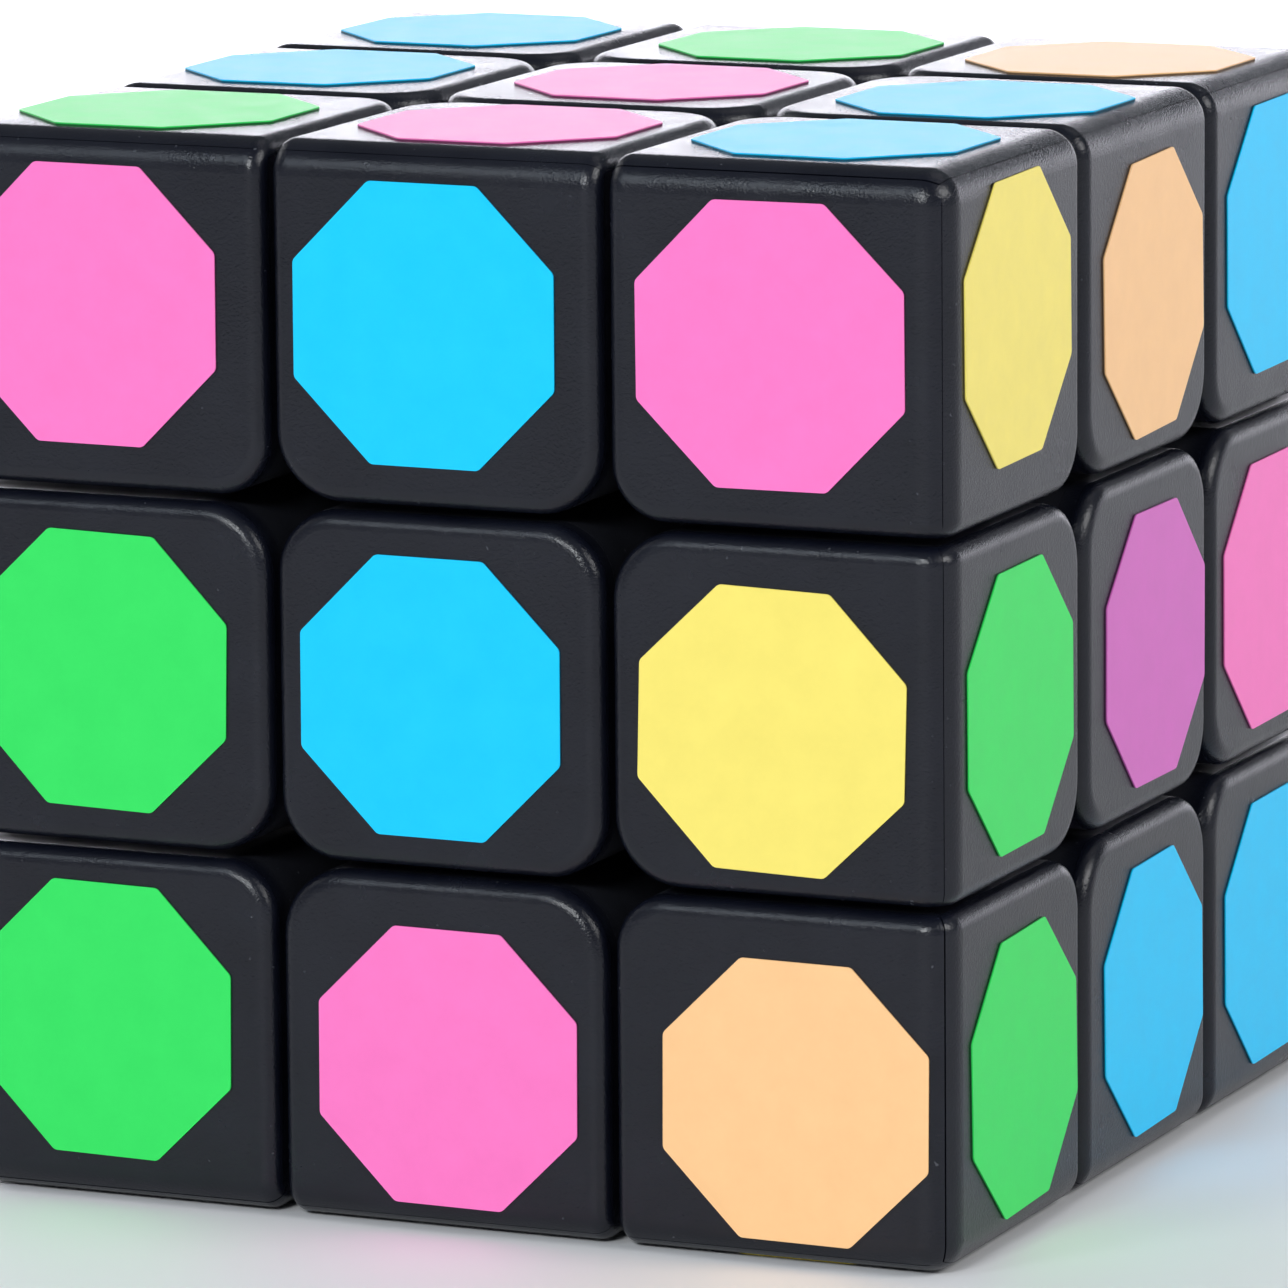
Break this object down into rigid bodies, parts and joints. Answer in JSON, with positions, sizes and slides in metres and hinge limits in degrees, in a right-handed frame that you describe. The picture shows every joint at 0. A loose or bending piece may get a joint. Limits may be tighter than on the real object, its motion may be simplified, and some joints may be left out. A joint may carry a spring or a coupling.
{
  "type": "twisty puzzle cube",
  "caption": "Three-by-three twisty puzzle cube of black plastic cubelets with octagonal coloured stickers, turning on a sprung six-armed core.",
  "frame": {"origin": "centre of the core, which is also the centre of the cube", "axes": "-Y out of the front face, +X out of the right face, +Z out of the upper face"},
  "size_m": [0.0572, 0.0572, 0.0572],
  "materials": {
    "black_plastic": "moulded black plastic, satin, fine grain",
    "core_plastic": "moulded black plastic, satin",
    "zinc_steel": "zinc plated",
    "film_pink": "vinyl film, bright, satin",
    "film_cyan": "vinyl film, bright, satin",
    "film_green": "vinyl film, bright, satin",
    "film_yellow": "vinyl film, bright, satin",
    "film_orange": "vinyl film, bright, satin",
    "film_purple": "vinyl film, bright, satin"
  },
  "bodies": {
    "middle_and_core": {"centre_bases_middle": "black_plastic", "core": "core_plastic", "edge_back_left": "black_plastic", "edge_back_right": "black_plastic", "edge_caps_middle": "black_plastic", "edge_front_left": "black_plastic", "edge_front_right": "black_plastic", "stickers_middle_green": "film_green", "stickers_middle_orange": "film_orange", "stickers_middle_pink": "film_pink", "stickers_middle_yellow": "film_yellow", "tension_screws": "zinc_steel", "tension_springs": "zinc_steel", "tension_washers": "zinc_steel"},
    "upper_layer": {"centre_bases_upper": "black_plastic", "corner_caps_upper": "black_plastic", "corner_upper_back_right": "black_plastic", "corner_upper_front_left": "black_plastic", "corner_upper_left_back": "black_plastic", "corner_upper_right_front": "black_plastic", "edge_caps_upper": "black_plastic", "edge_upper_back": "black_plastic", "edge_upper_front": "black_plastic", "edge_upper_left": "black_plastic", "edge_upper_right": "black_plastic", "stickers_upper_cyan": "film_cyan", "stickers_upper_green": "film_green", "stickers_upper_orange": "film_orange", "stickers_upper_pink": "film_pink", "stickers_upper_purple": "film_purple", "stickers_upper_yellow": "film_yellow"},
    "lower_layer": {"centre_bases_lower": "black_plastic", "corner_caps_lower": "black_plastic", "corner_lower_back_left": "black_plastic", "corner_lower_front_right": "black_plastic", "corner_lower_left_front": "black_plastic", "corner_lower_right_back": "black_plastic", "edge_caps_lower": "black_plastic", "edge_lower_back": "black_plastic", "edge_lower_front": "black_plastic", "edge_lower_left": "black_plastic", "edge_lower_right": "black_plastic", "stickers_lower_cyan": "film_cyan", "stickers_lower_green": "film_green", "stickers_lower_orange": "film_orange", "stickers_lower_pink": "film_pink", "stickers_lower_purple": "film_purple", "stickers_lower_yellow": "film_yellow"},
    "cap_upper": {"centre_cap_upper": "black_plastic", "sticker_centre_upper_pink": "film_pink"},
    "cap_lower": {"centre_cap_lower": "black_plastic", "sticker_centre_lower_orange": "film_orange"},
    "cap_front": {"centre_cap_front": "black_plastic", "sticker_centre_front_cyan": "film_cyan"},
    "cap_back": {"centre_cap_back": "black_plastic", "sticker_centre_back_green": "film_green"},
    "cap_left": {"centre_cap_left": "black_plastic", "sticker_centre_left_yellow": "film_yellow"},
    "cap_right": {"centre_cap_right": "black_plastic", "sticker_centre_right_purple": "film_purple"}
  },
  "joints": [
    {"name": "turn_upper_layer", "type": "hinge", "parent": "middle_and_core", "child": "upper_layer", "pos_m": [0, 0, 0], "axis": [0, 0, 1], "continuous": true},
    {"name": "turn_lower_layer", "type": "hinge", "parent": "middle_and_core", "child": "lower_layer", "pos_m": [0, 0, 0], "axis": [0, 0, -1], "continuous": true},
    {"name": "pull_off_cap_upper", "type": "slide", "parent": "upper_layer", "child": "cap_upper", "axis": [0, 0, 1], "range_m": [0, 0.012]},
    {"name": "pull_off_cap_lower", "type": "slide", "parent": "lower_layer", "child": "cap_lower", "axis": [0, 0, -1], "range_m": [0, 0.012]},
    {"name": "pull_off_cap_front", "type": "slide", "parent": "middle_and_core", "child": "cap_front", "axis": [0, -1, 0], "range_m": [0, 0.012]},
    {"name": "pull_off_cap_back", "type": "slide", "parent": "middle_and_core", "child": "cap_back", "axis": [0, 1, 0], "range_m": [0, 0.012]},
    {"name": "pull_off_cap_left", "type": "slide", "parent": "middle_and_core", "child": "cap_left", "axis": [-1, 0, 0], "range_m": [0, 0.012]},
    {"name": "pull_off_cap_right", "type": "slide", "parent": "middle_and_core", "child": "cap_right", "axis": [1, 0, 0], "range_m": [0, 0.012]}
  ]
}
